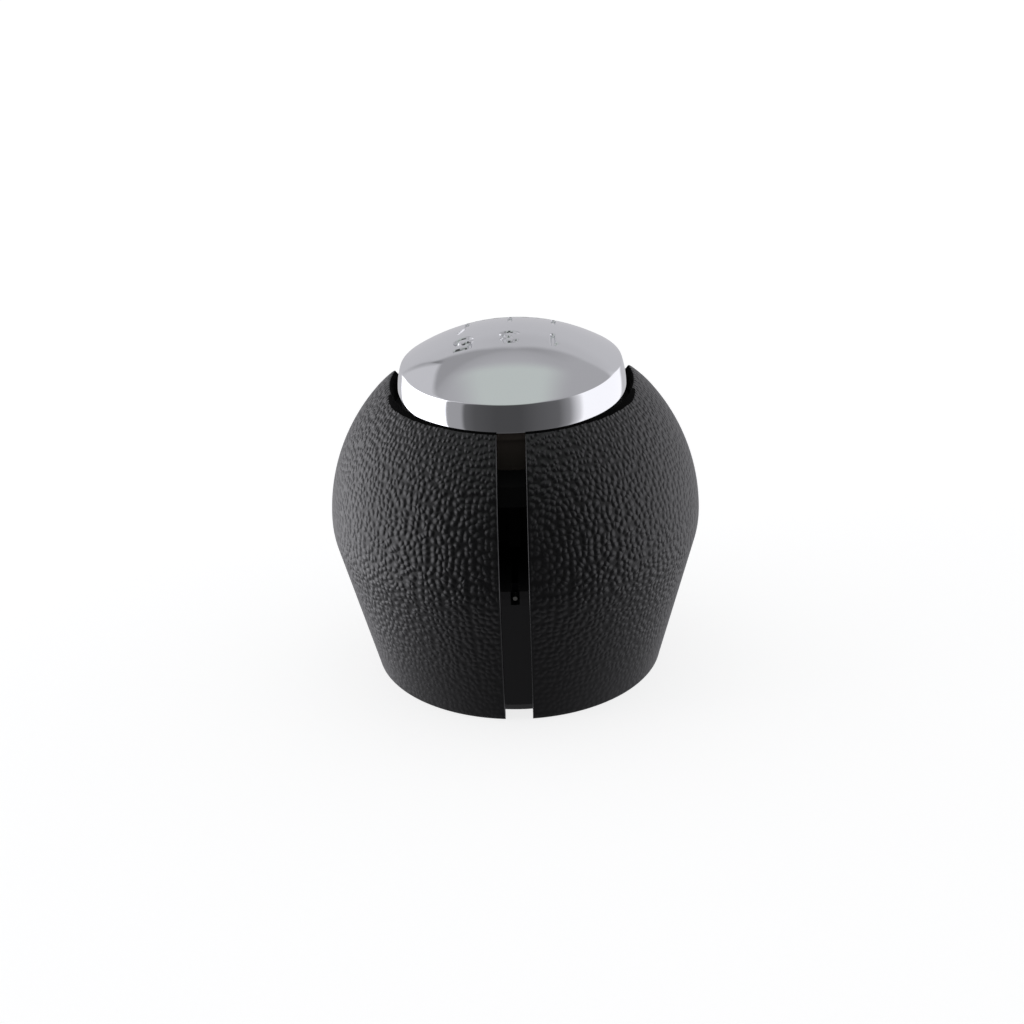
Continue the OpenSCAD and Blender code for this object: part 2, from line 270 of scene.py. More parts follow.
def wall_section():
    """Outline of the wall, up the outside and down the inside, and where its outer face and bevel end."""
    foot_x = grip_r(FOOT_ROUND) - FOOT_ROUND
    foot_turn = 90 - math.degrees(taper)
    points = []
    for i in range(FOOT_ROWS + 1):
        a = math.radians(-90 + foot_turn * i / FOOT_ROWS)
        points.append((foot_x + FOOT_ROUND * math.cos(a), FOOT_ROUND + FOOT_ROUND * math.sin(a)))
    fine = RIM_Z - RIM_EDGE - SHADED_ROWS * SHADED_ROW_H
    points += face_rows(points[-1][1], taper_top, SKIRT_ROWS)
    points += face_rows(taper_top, WAIST_Z, WAIST_ROWS)
    points += face_rows(WAIST_Z, fine, SHOULDER_ROWS)
    points += face_rows(fine, RIM_Z - RIM_EDGE, SHADED_ROWS)
    outer = len(points)
    points += [(RIM_R - inward, RIM_Z - down) for inward, down in RIM_EDGE_POINTS]
    for i in range(1, BEVEL_ROWS + 1):
        t = i / BEVEL_ROWS
        bevel_x = RIM_R - EDGE_T + (MOUTH_R - RIM_R + EDGE_T) * t
        points.append((bevel_x, RIM_Z - EDGE_DROP - (BEVEL_H - EDGE_DROP) * t))
    bevel = len(points)
    points += [(MOUTH_R, LIP_Z), (MOUTH_R + LIP_CORNER[0], LIP_Z - LIP_CORNER[1])]
    wall_x = grip_r(SHOULDER_Z) - SHELL_WALL
    points.append((wall_x - SHOULDER_CORNER[0], SHOULDER_Z + SHOULDER_CORNER[1]))
    for i in range(INSIDE_ROWS + 1):
        z = SHOULDER_Z * (1 - i / INSIDE_ROWS)
        points.append((grip_r(z) - SHELL_WALL, z))
    return points, outer, bevel


def mesh_piece(name, verts, faces, material, sharp=40):
    """A mesh object in metres from points in millimetres."""
    mesh = bpy.data.meshes.new(name)
    mesh.from_pydata([Vector(v) * MM for v in verts], [], faces)
    mesh.validate()
    shaper = bmesh.new()
    shaper.from_mesh(mesh)
    bmesh.ops.recalc_face_normals(shaper, faces=shaper.faces)
    shaper.to_mesh(mesh)
    shaper.free()
    mesh.shade_smooth()
    mesh.set_sharp_from_angle(angle=math.radians(sharp))
    mesh.materials.append(material)
    piece = bpy.data.objects.new(name, mesh)
    bpy.context.collection.objects.link(piece)
    return piece


# Soft-touch elastomer is a dark dielectric with a broad, weak gloss. The etched pebbles lie close
# together, 0.85 mm apart and 0.17 mm high, so each has a lit and a dark flank. They end at the slot,
# whose plain edge is rubbed smooth and shows as a thin bright line.
GRAIN_PITCH_MM = 0.85
GRAIN_STRETCH = 0.92
GRAIN_DEPTH_MM = 0.17
GRAIN_WANDER_MM = 3
GRAIN_SHIFT_MM = 0.9
GRAIN_FROM_SLOT = 0.5
EDGE_LINE_W = 0.1
PEBBLE_R = 0.66
SHALLOW_Z = 3
DEEP_Z = 25
SHALLOW_SHARE = 0.2
EDGE_SHARE = 0.05
MEAN_R = 23.0
PIT_MM = 0.2
PIT_SHARE = 0.1
GRIP_GLOSS = 0.4
EDGE_GLOSS = 0.13
soft_grip, tree, shader = new_material("soft_touch_elastomer")
place = put(tree, "ShaderNodeTexCoord").outputs["Object"]
x_way, y_way, height = put(tree, "ShaderNodeSeparateXYZ", {}, i0=place).outputs

# The pattern is laid out on the unrolled face, by the way round the knob and the way up along the wall
turn = put(tree, "ShaderNodeMath", {"operation": "ARCTAN2"}, i0=x_way, i1=y_way)
way_round = put(tree, "ShaderNodeMath", {"operation": "MULTIPLY", 1: MEAN_R * MM}, i0=turn)
over_waist = put(tree, "ShaderNodeMapRange", {1: WAIST_Z * MM, 2: (WAIST_Z + upper_r) * MM}, i0=height)
bend = put(tree, "ShaderNodeMath", {"operation": "ARCSINE"}, i0=over_waist)
skirt = put(tree, "ShaderNodeMath", {"operation": "MINIMUM", 1: WAIST_Z * MM}, i0=height)
way_up = put(tree, "ShaderNodeMath", {"operation": "MULTIPLY_ADD", 1: upper_r * MM}, i0=bend, i2=skirt)
squeezed = put(tree, "ShaderNodeMath", {"operation": "MULTIPLY", 1: GRAIN_STRETCH}, i0=way_up)
unrolled = put(tree, "ShaderNodeCombineXYZ", {}, i0=way_round, i1=squeezed)
drift = {"Scale": 1 / (GRAIN_WANDER_MM * MM), "Detail": 2.0}
wander = put(tree, "ShaderNodeTexNoise", drift, Vector=unrolled)
shift = {"operation": "MULTIPLY_ADD", 1: (GRAIN_SHIFT_MM * MM,) * 3}
shifted = put(tree, "ShaderNodeVectorMath", shift, i0=wander.outputs["Color"], i2=unrolled)
pebbles = {"voronoi_dimensions": "2D", "feature": "SMOOTH_F1", "Smoothness": 0.2, "Randomness": 0.7}
pebbles["Scale"] = 1 / (GRAIN_PITCH_MM * MM)
cells = put(tree, "ShaderNodeTexVoronoi", pebbles, Vector=shifted)
pebble = put(tree, "ShaderNodeMapRange", {"interpolation_type": "SMOOTHSTEP", 1: PEBBLE_R, 2: 0.0}, i0=cells)
pits = put(tree, "ShaderNodeTexNoise", {"Scale": 1 / (PIT_MM * MM), "Detail": 1.0}, Vector=place)
relief = put(tree, "ShaderNodeMath", {"operation": "MULTIPLY_ADD", 1: PIT_SHARE}, i0=pits, i2=pebble)

# The grain fades towards the foot and stops short of the slot
deepening = {1: SHALLOW_Z * MM, 2: DEEP_Z * MM, 3: SHALLOW_SHARE, 4: 1.0}
depth = put(tree, "ShaderNodeMapRange", deepening, i0=height)
sideways = put(tree, "ShaderNodeMath", {"operation": "ABSOLUTE"}, i0=x_way)
behind = put(tree, "ShaderNodeMath", {"operation": "MAXIMUM", 1: 0.0}, i0=y_way)
from_slot = put(tree, "ShaderNodeMath", {"operation": "ADD"}, i0=sideways, i1=behind)
plain_edge = {1: (SLOT_W / 2 + EDGE_LINE_W) * MM, 2: (SLOT_W / 2 + GRAIN_FROM_SLOT) * MM}
clear = put(tree, "ShaderNodeMapRange", plain_edge | {3: EDGE_SHARE, 4: 1.0}, i0=from_slot)
gloss = put(tree, "ShaderNodeMapRange", plain_edge | {3: EDGE_GLOSS, 4: GRIP_GLOSS}, i0=from_slot)
strength = put(tree, "ShaderNodeMath", {"operation": "MULTIPLY"}, i0=depth, i1=clear)
grain = put(tree, "ShaderNodeBump", {"Distance": GRAIN_DEPTH_MM * MM}, Strength=strength, Height=relief)
# The colour is darker in the hollows between the pebbles and lighter on their tops: painted shade in the
# grain's hollows
painted_shade = put(tree, "ShaderNodeMix", {"data_type": "RGBA", 6: srgb("#0e0e0f"), 7: srgb("#1a1a1c")}, i0=pebble)
tree.links.new(painted_shade.outputs[2], shader.inputs["Base Color"])
tree.links.new(gloss.outputs[0], shader.inputs["Roughness"])
tree.links.new(grain.outputs[0], shader.inputs["Normal"])
shader.inputs["IOR"].default_value = 1.5

# Inside the rim, and on a strip of its edge at the front, the polypropylene is painted a matt, deep black
# with almost no gloss: painted shade that stands in for the shadow in the gap round the cap
SHADE_SPECK_MM = 0.4
rim_shade, tree, shader = new_material("painted_rim_shade")
place = put(tree, "ShaderNodeTexCoord").outputs["Object"]
speck = put(tree, "ShaderNodeTexNoise", {"Scale": 1 / (SHADE_SPECK_MM * MM), "Detail": 2.0}, Vector=place)
painted_shade = put(tree, "ShaderNodeMix", {"data_type": "RGBA", 6: srgb("#050505"), 7: srgb("#0a0a0a")}, i0=speck)
tree.links.new(painted_shade.outputs[2], shader.inputs["Base Color"])
shader.inputs["Roughness"].default_value = 0.9
shader.inputs["Specular IOR Level"].default_value = 0.05

# The slot's two faces stay parallel planes, so each ring starts and ends where it meets them
half_turn = list(SLOT_COLUMNS)
for share_from, share_to, count in COLUMN_SPANS:
    half_turn += [share_from + (share_to - share_from) * i / count for i in range(count)]
half_turn.append(1.0)
columns = [(1, t) for t in half_turn] + [(-1, t) for t in reversed(half_turn[:-1])]
section, outer_end, bevel_end = wall_section()
shell_verts = []
for side, t in columns:
    edge_round = SLOT_EDGE_ROUND if side < 0 else SLOT_EDGE_ROUND / 2
    for index, (r, z) in enumerate(section):
        start = math.asin(SLOT_W / 2 / r)
        angle = start + (math.pi - start) * t
        if index < outer_end:
            past_slot = r * math.sin(angle) - SLOT_W / 2 if angle < math.pi / 2 else edge_round
            gone = min(max(edge_round - past_slot, 0), edge_round)
            fade = smooth(0, 1, RIM_Z - z) * smooth(0, 1, z)
            r -= (edge_round - math.sqrt(edge_round**2 - gone**2)) * fade
            start = math.asin(SLOT_W / 2 / r)
            angle = start + (math.pi - start) * t
        y = -r * math.cos(angle)
        if index < bevel_end:
            z = rear_cut(r, y, z)
        shell_verts.append((side * r * math.sin(angle), y, z))
ring = len(section)
last = (len(columns) - 1) * ring
shell_faces = []
for c in range(len(columns) - 1):
    for i in range(ring):
        a, b = c * ring + i, c * ring + (i + 1) % ring
        shell_faces.append((a, b, b + ring, a + ring))
shell_faces.append(tuple(range(ring)))
shell_faces.append(tuple(last + i for i in reversed(range(ring))))
shell = mesh_piece("grip_skin", shell_verts, shell_faces, soft_grip)
shell.data.materials.append(rim_shade)
# The faces inside the rim and the strip of the outer face under its edge take the painted shade
edge_angles, edge_widths = zip(*SHADED_EDGE)
for index, face in enumerate(shell.data.polygons):
    angle = 180 * columns[min(index // ring, len(columns) - 1)][1]
    shaded_rows = round(float(np.interp(angle, edge_angles, edge_widths)) / SHADED_ROW_H)
    first_shaded = outer_end - 1 - shaded_rows if shaded_rows else outer_end + 2
    if index < last and first_shaded <= index % ring < ring - 1:
        face.material_index = 1
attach(shell, "root")
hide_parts("grip_shell")
shell.visible_glossy = False


# Deck screws
# Three pan-head screws of zinc-plated steel, driven down through the core's deck into the grip's lugs.
# The plating is bright and slightly cool, with the fine lines of the drawn wire.
dress("deck_screws", rolled_steel("zinc_plating", "#c3c4c8", 0.34, 0.3))


# Cap carrier
# A ring and flange of black nylon, moulded with three hooks that snap through the deck. The nylon is matt and
# black; in its middle, where the slot opens on it, it is painted a lighter brown-grey: a painted pool of the
# light that comes in through the slot.
PAINTED_LIGHT_TO = 2.2
UNLIT_FROM = 3.5
carrier_nylon, tree, shader = new_material("matt_black_nylon")
place = put(tree, "ShaderNodeTexCoord").outputs["Object"]
x_way = put(tree, "ShaderNodeSeparateXYZ", {}, i0=place).outputs[0]
off_middle = put(tree, "ShaderNodeMath", {"operation": "ABSOLUTE"}, i0=x_way)
unlit = put(tree, "ShaderNodeMapRange", {1: PAINTED_LIGHT_TO * MM, 2: UNLIT_FROM * MM}, i0=off_middle)
painted_light = put(tree, "ShaderNodeMix", {"data_type": "RGBA", 6: srgb("#6a625b"), 7: srgb("#070707")}, i0=unlit)
tree.links.new(painted_light.outputs[2], shader.inputs["Base Color"])
shader.inputs["Roughness"].default_value = 0.9
shader.inputs["Specular IOR Level"].default_value = 0.05
dress("cap_carrier", carrier_nylon)


# Chrome cap
# ABS moulding plated with bright chrome and pressed over its carrier: a shallow dome, a crisp crease
# and a band that runs down into the grip, a little less far at the two sides. The shift pattern is
# engraved the right way round for the driver, who sits on the side away from the slot.
DOME_R = 27.23
CREASE_R = 15.3
CREASE_Z = 45.2
CREASE_ROUND = 0.25
BAND_R = 15.8
BAND_DROP = 3.8
BAND_SIDE_Z = 41.9
BAND_LEVEL_TO = 3
BAND_FULL_FROM = 11
CAP_WALL = 0.9
DOME_INSIDE_DROP = 0.6
CAP_RAKE = math.radians(1.3)
CAP_LEAN = math.radians(0.9)
COLUMN_X = 6.0
ROW_FRONT_Y = -0.6
ROW_REAR_Y = 12.7
DIGIT_H = 3.2
DIGIT_W = 2.15
STROKE_W = 0.55
ENGRAVE_DEPTH = 0.34
ENGRAVE_WALL = 0.2
GATE_Y = (4.1, 8.7)
GATE_BAR_Y = 8.4
REVERSE_MARK = (1.0, 2.2)
# Figures by column; the 5 stands a little further out
FRONT_ROW = [(-1, "1"), (0, "3"), (1.05, "5")]
REAR_ROW = [(-1, "2"), (0, "4"), (1, "R")]
# Squares along one side of the grid that the dome is made from
GRID = 256
# Radius and height of the rows just outside the dome, depths of the rows down the band, and radii of
# the rows inside the dome as shares of its own
CREASE_ROWS = [(CREASE_R - 0.13, 0.09), (CREASE_R - 0.03, 0.0), (CREASE_R + 0.02, -0.1)]
BAND_ROWS = (0.35, 0.7, 1.1, 1.5, 1.9, 2.4, 2.9, 3.3, BAND_DROP - 0.12)
BAND_EDGE = 0.02
DOME_INSIDE_ROWS = (0.8, 0.5, 0.2)


def arc(cx, cy, rx, ry, a_from, a_to, steps=10):
    """Points along part of an ellipse, angles in degrees."""
    turns = [math.radians(a_from + (a_to - a_from) * i / steps) for i in range(steps + 1)]
    return [(cx + rx * math.cos(a), cy + ry * math.sin(a)) for a in turns]


# Each figure is a list of lines through points, drawn as it is read, its foot at 0
half_w, bowl, top_y = DIGIT_W / 2, DIGIT_H / 4, DIGIT_H
figures = {
    "1": [[(half_w - 0.35, top_y * 0.84), (half_w + 0.1, top_y), (half_w + 0.1, 0)]],
    "2": [arc(half_w, top_y - bowl, half_w, bowl, 170, -40) + [(0, 0), (DIGIT_W, 0)]],
    "3": [
        arc(half_w, top_y - bowl * 0.95, half_w * 0.9, bowl * 0.95, 160, -90)
        + arc(half_w, bowl * 1.05, half_w, bowl * 1.05, 90, -160)
    ],
    "4": [[(DIGIT_W * 0.75, 0), (DIGIT_W * 0.75, top_y), (0, bowl), (DIGIT_W, bowl)]],
    "5": [
        [(DIGIT_W, top_y), (0.25, top_y), (0.1, top_y * 0.55)]
        + arc(half_w, bowl * 1.16, half_w, bowl * 1.16, 125, -160)
    ],
    "R": [
        [(0, 0), (0, top_y), (half_w, top_y)]
        + arc(half_w, top_y - bowl, half_w, bowl, 90, -90)
        + [(0, top_y - 2 * bowl)],
        [(half_w, top_y - 2 * bowl), (DIGIT_W, 0)],
    ],
}


def driver_view(points, column, base_y):
    """Figure points placed on the cap: the driver's right is -X and away from the driver is -Y."""
    return [(-column * COLUMN_X - (x - half_w), base_y - y) for x, y in points]


# Two rows of figures, the gate between them, and the short mark at reverse
strokes = []
for column, figure in FRONT_ROW:
    strokes += [driver_view(line, column, ROW_FRONT_Y) for line in figures[figure]]
for column, figure in REAR_ROW:
    strokes += [driver_view(line, column, ROW_REAR_Y) for line in figures[figure]]
strokes += [[(x * COLUMN_X, GATE_Y[0]), (x * COLUMN_X, GATE_Y[1])] for x in (-1, 0, 1)]
strokes.append([(-COLUMN_X, GATE_BAR_Y), (COLUMN_X, GATE_BAR_Y)])
strokes.append([(-COLUMN_X - REVERSE_MARK[0], GATE_Y[0] - REVERSE_MARK[1]), (-COLUMN_X, GATE_Y[0])])


def engraving(points):
    """How deep the pattern is cut at each point of an array of x and y, in millimetres."""
    nearest = np.full(len(points), np.inf)
    for line in strokes:
        for a, b in zip(line, line[1:]):
            a, b = np.array(a), np.array(b)
            along = np.clip((points - a) @ (b - a) / max((b - a) @ (b - a), 1e-9), 0, 1)
            gap = np.linalg.norm(points - a - along[:, None] * (b - a), axis=1)
            nearest = np.minimum(nearest, gap)
    t = np.clip((STROKE_W / 2 + ENGRAVE_WALL / 2 - nearest) / ENGRAVE_WALL, 0, 1)
    return ENGRAVE_DEPTH * t * t * (3 - 2 * t)


def dome_z(r, radius=DOME_R, crease=CREASE_R):
    """Height of the dome over its crease."""
    return np.sqrt(radius**2 - r**2) - math.sqrt(radius**2 - crease**2)


def band_share(a):
    """How much of the band's full drop is left at an angle; its lower edge is level at the sides."""
    x, y = BAND_R * math.cos(a), BAND_R * math.sin(a)
    side_drop = CREASE_Z - y * math.sin(CAP_RAKE) + x * math.sin(CAP_LEAN) - BAND_SIDE_Z
    beside = 1 - smooth(BAND_LEVEL_TO, BAND_FULL_FROM, y)
    return 1 + (side_drop / BAND_DROP - 1) * smooth(-BAND_FULL_FROM, -BAND_LEVEL_TO, y) * beside


# A square grid pressed into a disc carries the engraving, and its border ring goes on down the band
steps = np.linspace(-1, 1, GRID + 1)
u, v = np.meshgrid(steps, steps)
inner_r = CREASE_R - CREASE_ROUND
grid_x = (u * np.sqrt(1 - v**2 / 2) * inner_r).ravel()
grid_y = (v * np.sqrt(1 - u**2 / 2) * inner_r).ravel()
flat = np.stack([grid_x, grid_y], axis=1)
grid_z = dome_z(np.hypot(grid_x, grid_y)) - engraving(flat)
cap_verts = [tuple(p) for p in np.stack([grid_x, grid_y, grid_z], axis=1)]
cap_faces = []
side_n = GRID + 1
for i in range(GRID):
    for j in range(GRID):
        a = i * side_n + j
        cap_faces.append((a, a + 1, a + 1 + side_n, a + side_n))
border = [j for j in range(GRID)] + [i * side_n + GRID for i in range(GRID)]
border += [GRID * side_n + j for j in range(GRID, 0, -1)] + [i * side_n for i in range(GRID, 0, -1)]

# Rows down the band, round its edge, and back up inside to the middle of the dome
band_arc = ((BAND_R - CREASE_R) ** 2 + BAND_DROP**2) / (2 * (BAND_R - CREASE_R))
inside = CREASE_R - CAP_WALL
lower = list(CREASE_ROWS)
for d in BAND_ROWS:
    lower.append((BAND_R - band_arc + math.sqrt(band_arc**2 - (BAND_DROP - d) ** 2), -d))
lower += [(BAND_R - BAND_EDGE, -BAND_DROP), (inside, -BAND_DROP), (inside, -DOME_INSIDE_DROP)]
for share in DOME_INSIDE_ROWS:
    row_z = float(dome_z(inside * share, DOME_R - CAP_WALL, inside)) - DOME_INSIDE_DROP
    lower.append((inside * share, row_z))
previous = border
for r, z in lower:
    ring_start = len(cap_verts)
    for index in border:
        a = math.atan2(grid_y[index], grid_x[index])
        cap_verts.append((r * math.cos(a), r * math.sin(a), z * band_share(a) if z < 0 else z))
    current = list(range(ring_start, ring_start + len(border)))
    for k in range(len(border)):
        n = (k + 1) % len(border)
        cap_faces.append((previous[k], previous[n], current[n], current[k]))
    previous = current
cap_faces.append(tuple(previous))
tilt = Matrix.Rotation(-CAP_LEAN, 4, "Y") @ Matrix.Rotation(-CAP_RAKE, 4, "X")
tilt = Matrix.Translation((0, 0, CREASE_Z)) @ tilt
cap_verts = [tilt @ Vector(p) for p in cap_verts]

# Chrome plating is a neutral metal with a mirror gloss. Wiping has hazed it a little, and the plastic
# under it lets the mirror ripple.
WIPE_MM = 4
RIPPLE_MM = 3
RIPPLE_DEPTH_MM = 0.0012
HAZE_FROM = (0.35, 0.75)
CHROME_GLOSS = (0.045, 0.085)
bright_chrome, tree, shader = new_material("bright_chrome_plating")
place = put(tree, "ShaderNodeTexCoord").outputs["Object"]
wipes = {"Scale": 1 / (WIPE_MM * MM), "Detail": 6.0, "Roughness": 0.7}
wiping = put(tree, "ShaderNodeTexNoise", wipes, Vector=place)
hazing = {1: HAZE_FROM[0], 2: HAZE_FROM[1], 3: CHROME_GLOSS[0], 4: CHROME_GLOSS[1]}
haze = put(tree, "ShaderNodeMapRange", hazing, i0=wiping)
ripple = put(tree, "ShaderNodeTexNoise", {"Scale": 1 / (RIPPLE_MM * MM), "Detail": 1.0}, Vector=place)
wave = put(tree, "ShaderNodeBump", {"Strength": 1.0, "Distance": RIPPLE_DEPTH_MM * MM}, Height=ripple)
tree.links.new(haze.outputs[0], shader.inputs["Roughness"])
tree.links.new(wave.outputs[0], shader.inputs["Normal"])
shader.inputs["Base Color"].default_value = srgb("#e3e4e6")
shader.inputs["Metallic"].default_value = 1.0
cap = mesh_piece("plated_cap", cap_verts, cap_faces, bright_chrome, sharp=50)
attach(cap, "root")
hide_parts("chrome_cap")


# Table
# A round table top of plain white paper, with a glow that lets it run into the white behind it. The
# knob isn't lit by it and doesn't mirror it: what comes up from below is part of the tent.
FLOOR_R = 780
FLOOR_SIDES = 96
floor_verts = [(0, 0, 0)]
for i in range(FLOOR_SIDES):
    a = i * math.tau / FLOOR_SIDES
    floor_verts.append((FLOOR_R * math.cos(a), FLOOR_R * math.sin(a), 0))
floor_faces = [(0, i + 1, (i + 1) % FLOOR_SIDES + 1) for i in range(FLOOR_SIDES)]
paper, tree, shader = new_material("white_paper")
shader.inputs["Base Color"].default_value = srgb("#a8a8a8")
shader.inputs["Specular IOR Level"].default_value = 0.0
shader.inputs["Emission Color"].default_value = srgb("#ffffff")
shader.inputs["Emission Strength"].default_value = 0.8
floor = mesh_piece("floor", floor_verts, floor_faces, paper)
floor.visible_glossy = False
floor.visible_diffuse = False

# The white behind the table
world = bpy.data.worlds.new("studio")
bpy.context.scene.world = world
world.use_nodes = True
world.node_tree.nodes["Background"].inputs[0].default_value = srgb("#ffffff")
world.node_tree.nodes["Background"].inputs[1].default_value = 1.0


# Light tent
# A tent of white cloth over the table, as for a product picture, open towards the camera, so what
# faces the camera stays dark, and the sides catch the light of the cloth. Angles are in degrees: round
# from the camera's side to the right, and up from the table. Levels are shares of full light. A pair
# of angles is where one part of the tent starts and has wholly taken over from the next.
TENT_R = 0.8
# Near the horizon, round from the left rear past the front; the left side is the stronger light
HORIZON = [(-180, 0.24), (-144, 0.25), (-138, 0.92), (-69, 0.92), (-66, 0.165), (-50, 0.16), (-47, 0.058)]
HORIZON += [(-36, 0.04), (-15, 0.031), (8, 0.031), (25, 0.044), (46, 0.056), (58, 0.12), (69, 0.33)]
HORIZON += [(74, 0.5), (138, 0.5), (144, 0.25), (180, 0.24)]
HORIZON_GAIN = 2.5
HORIZON_TO = (34, 26)
# The wall's lower edge hangs further down at the left
HANG = [(-180, 0), (-168, 0), (-150, 1), (-95, 1), (-80, 0), (180, 0)]
HANG_DROP = 12
# Where the wall ends and the darker ceiling starts, as shares of the highest: a line that falls to both
# sides
CEILING_FROM = [(-180, 0.92), (-168, 0.87), (-158, 0.77), (-152, 0.66), (-149, 0.54), (-146, 0.42)]
CEILING_FROM += [(-60, 0.42), (60, 0.42), (130, 0.58), (141, 0.67), (150, 0.77), (166, 0.86), (180, 0.92)]
CEILING_TOP = 50
CEILING_SEAM = (-2, 1.5)
WALL = [(-180, 0.56), (-158, 0.6), (-100, 0.62), (100, 0.6), (158, 0.58), (180, 0.56)]
LEFT_CEILING = [(-90, 0.37), (47, 0.38), (50, 0.44), (56, 0.49), (90, 0.53)]
RIGHT_CEILING = 0.47
RIGHT_SIDE = [(-180, 0), (60, 0), (80, 1), (150, 1), (170, 0), (180, 0)]
# A bright patch of wall at the left, as shares of its highest, and a thin shadow in the corner behind it
PATCH_TOP = [(-180, 0), (-152, 0), (-150, 0.72), (-137, 0.86), (-120, 1), (-90, 1), (-60, 0)]
PATCH_HIGHEST = 50
PATCH_SEAM = (-1, 1.5)
PATCH_FROM = (12, 16)
PATCH_LEVEL = 0.67
CORNER = [(-180, 1), (-152, 1), (-150, 0.55), (-148, 1), (180, 1)]
CORNER_TO = (34, 37)
# A bright window overhead, by its edges across and along the tent as shares of its radius
WINDOW_LEFT = (-0.48, -0.22)
WINDOW_RIGHT = (0.42, 0.18)
WINDOW_BACK = (0.55, 0.41)
WINDOW_LEVEL = 0.63
# The opening on the camera's side stays dark up to the roof
OPENING = [(-180, 0), (-80, 0), (-50, 1), (35, 1), (62, 0), (180, 0)]
ROOF_FROM = (72, 48)
# What comes up from below is the table itself, in the knob's own shade
TABLE_TOP = [(-180, 0.3), (-95, 0.36), (-60, 0.24), (-25, 0.16), (25, 0.16), (60, 0.22), (95, 0.3)]
TABLE_TOP += [(180, 0.3)]
TABLE_TO = (-42, -27)
GREEN_FROM = (20, 40)
tent_mesh = bpy.data.meshes.new("light_tent")
shaper = bmesh.new()
bmesh.ops.create_uvsphere(shaper, u_segments=32, v_segments=16, radius=TENT_R)
shaper.to_mesh(tent_mesh)
shaper.free()
tent = bpy.data.objects.new("light_tent", tent_mesh)
bpy.context.collection.objects.link(tent)
tent.visible_camera = False
tent.visible_shadow = False
tent_cloth = bpy.data.materials.new("tent_cloth")
tent_cloth.use_nodes = True
tree = tent_cloth.node_tree
tree.nodes.clear()


def by_angle(levels, furthest):
    """Ramp stops for levels at angles, on a ramp that runs from one way furthest to the other."""
    return {"stops": [((angle + furthest) / (2 * furthest), level) for angle, level in levels]}


way = put(tree, "ShaderNodeNewGeometry").outputs["Position"]
unit = put(tree, "ShaderNodeVectorMath", {"operation": "NORMALIZE"}, i0=way)
across, along, upward = put(tree, "ShaderNodeSeparateXYZ", {}, i0=unit).outputs
toward = put(tree, "ShaderNodeMath", {"operation": "MULTIPLY", 1: -1.0}, i0=along)
turn = put(tree, "ShaderNodeMath", {"operation": "ARCTAN2"}, i0=across, i1=toward)
turn_share = put(tree, "ShaderNodeMapRange", {1: -math.pi, 2: math.pi}, i0=turn)
rise = put(tree, "ShaderNodeMath", {"operation": "ARCSINE"}, i0=upward)
rise = put(tree, "ShaderNodeMath", {"operation": "DEGREES"}, i0=rise)
rise_share = put(tree, "ShaderNodeMapRange", {1: -90, 2: 90}, i0=rise)

# Wall and ceiling
ceiling_share = put(tree, "ShaderNodeValToRGB", by_angle(CEILING_FROM, 180), i0=turn_share)
ceiling_from = put(tree, "ShaderNodeMath", {"operation": "MULTIPLY", 1: CEILING_TOP}, i0=ceiling_share)
over_line = put(tree, "ShaderNodeMath", {"operation": "SUBTRACT"}, i0=rise, i1=ceiling_from)
above = put(tree, "ShaderNodeMapRange", {1: CEILING_SEAM[0], 2: CEILING_SEAM[1]}, i0=over_line)
left_ceiling = put(tree, "ShaderNodeValToRGB", by_angle(LEFT_CEILING, 90), i0=rise_share)
right_side = put(tree, "ShaderNodeValToRGB", by_angle(RIGHT_SIDE, 180), i0=turn_share)
ceiling = put(tree, "ShaderNodeMix", {"data_type": "FLOAT", 3: RIGHT_CEILING}, i0=right_side, i2=left_ceiling)
wall = put(tree, "ShaderNodeValToRGB", by_angle(WALL, 180), i0=turn_share)
overhead = put(tree, "ShaderNodeMix", {"data_type": "FLOAT"}, i0=above, i2=wall, i3=ceiling)

# Bright patch and the corner's shadow
patch_share = put(tree, "ShaderNodeValToRGB", by_angle(PATCH_TOP, 180), i0=turn_share)
patch_top = put(tree, "ShaderNodeMath", {"operation": "MULTIPLY", 1: PATCH_HIGHEST}, i0=patch_share)
under_top = put(tree, "ShaderNodeMath", {"operation": "SUBTRACT"}, i0=patch_top, i1=rise)
under = put(tree, "ShaderNodeMapRange", {1: PATCH_SEAM[0], 2: PATCH_SEAM[1]}, i0=under_top)
over_seam = put(tree, "ShaderNodeMapRange", {1: PATCH_FROM[0], 2: PATCH_FROM[1]}, i0=rise)
patch = put(tree, "ShaderNodeMath", {"operation": "MULTIPLY"}, i0=under, i1=over_seam)
overhead = put(tree, "ShaderNodeMix", {"data_type": "FLOAT", 3: PATCH_LEVEL}, i0=patch, i2=overhead)
corner = put(tree, "ShaderNodeValToRGB", by_angle(CORNER, 180), i0=turn_share)
over_corner = put(tree, "ShaderNodeMapRange", {1: CORNER_TO[0], 2: CORNER_TO[1]}, i0=rise)
corner_shade = put(tree, "ShaderNodeMix", {"data_type": "FLOAT", 3: 1.0}, i0=over_corner, i2=corner)
overhead = put(tree, "ShaderNodeMath", {"operation": "MULTIPLY"}, i0=overhead, i1=corner_shade)

# Window
soft = {"interpolation_type": "SMOOTHSTEP"}
window_left = put(tree, "ShaderNodeMapRange", soft | {1: WINDOW_LEFT[0], 2: WINDOW_LEFT[1]}, i0=across)
window_right = put(tree, "ShaderNodeMapRange", soft | {1: WINDOW_RIGHT[0], 2: WINDOW_RIGHT[1]}, i0=across)
window_back = put(tree, "ShaderNodeMapRange", soft | {1: WINDOW_BACK[0], 2: WINDOW_BACK[1]}, i0=along)
window_width = put(tree, "ShaderNodeMath", {"operation": "MULTIPLY"}, i0=window_left, i1=window_right)
window = put(tree, "ShaderNodeMath", {"operation": "MULTIPLY"}, i0=window_width, i1=window_back)
overhead = put(tree, "ShaderNodeMix", {"data_type": "FLOAT", 3: WINDOW_LEVEL}, i0=window, i2=overhead)

